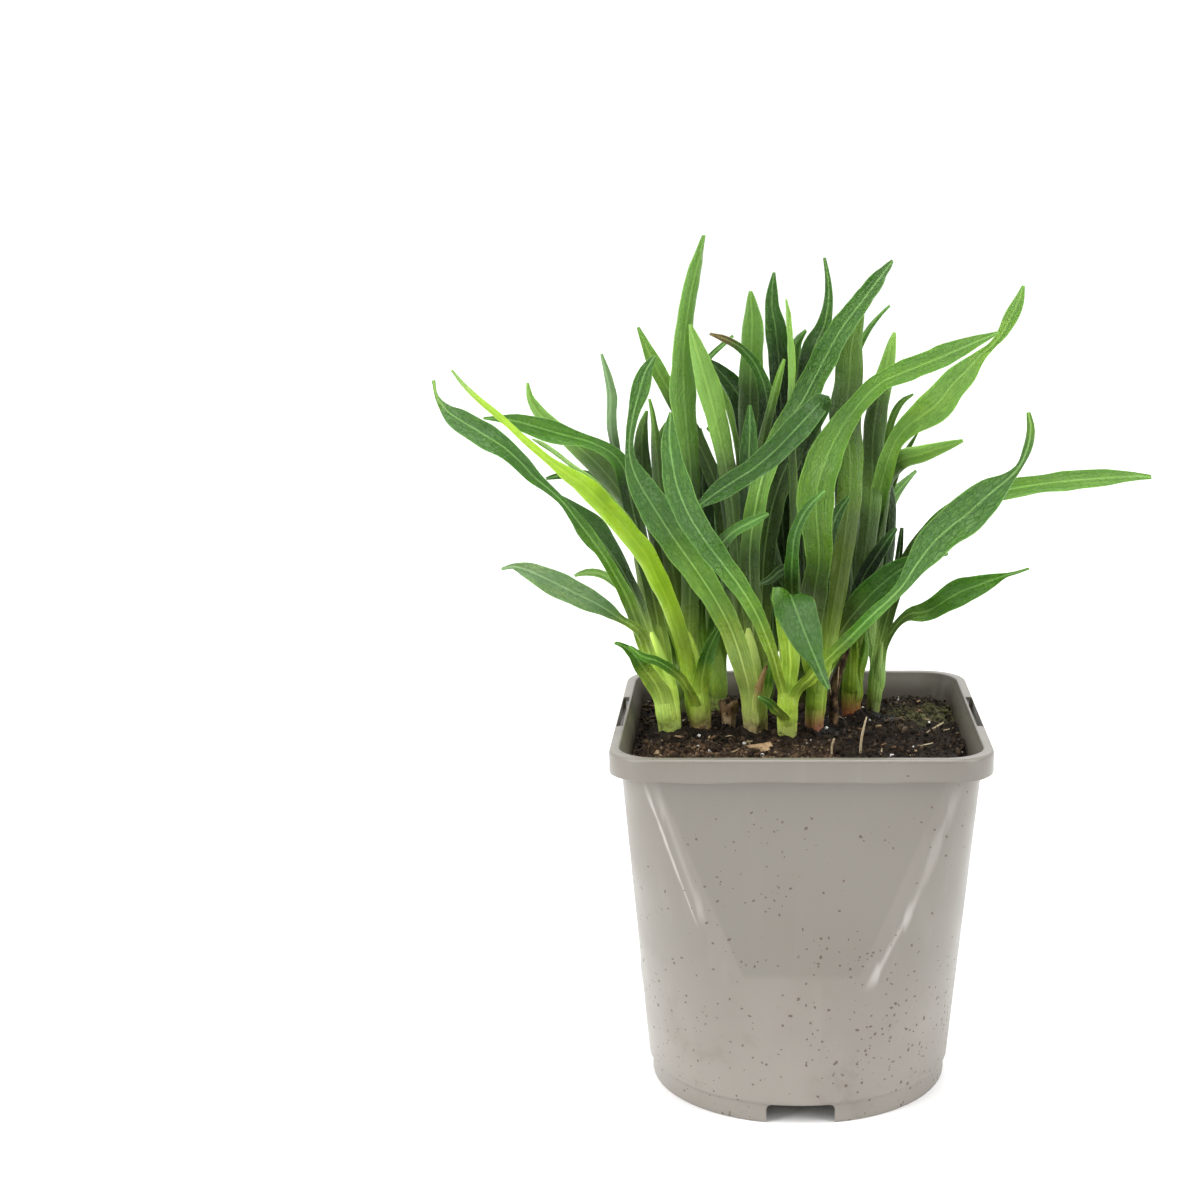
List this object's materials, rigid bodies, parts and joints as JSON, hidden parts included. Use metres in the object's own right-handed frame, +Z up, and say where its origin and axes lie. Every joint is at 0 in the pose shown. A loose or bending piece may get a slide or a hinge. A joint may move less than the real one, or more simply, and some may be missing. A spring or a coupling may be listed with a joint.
{
  "type": "potted blazing star",
  "caption": "Young clump of long narrow green leaves growing from dark soil in a square-topped plastic nursery pot with a round, notched foot.",
  "frame": {"origin": "on the standing surface, under the middle of the whole plant, within half a millimetre of the pot's axis", "axes": "+Z up, the front of the plant looks along -Y, +X to the viewer's right"},
  "size_m": [0.1763, 0.1099, 0.2106],
  "materials": {
    "pot_plastic": "taupe grey, satin moulded plastic with specks of dirt",
    "peat_soil": "loose dark brown peat crumbs and fibres with white perlite",
    "leaf_green": "fresh green leaf, satin, paler at the base and along the midrib",
    "dry_stem": "dry brown fibrous stem"
  },
  "bodies": {
    "root": {"pot": "pot_plastic", "soil": "peat_soil", "cut_stump": "dry_stem", "dry_stem": "dry_stem", "shoot_01": "leaf_green", "shoot_02": "leaf_green", "shoot_03": "leaf_green", "shoot_04": "leaf_green", "shoot_05": "leaf_green", "shoot_06": "leaf_green", "shoot_07": "leaf_green", "shoot_08": "leaf_green", "shoot_09": "leaf_green", "shoot_10": "leaf_green", "shoot_11": "leaf_green", "shoot_12": "leaf_green"}
  },
  "joints": []
}
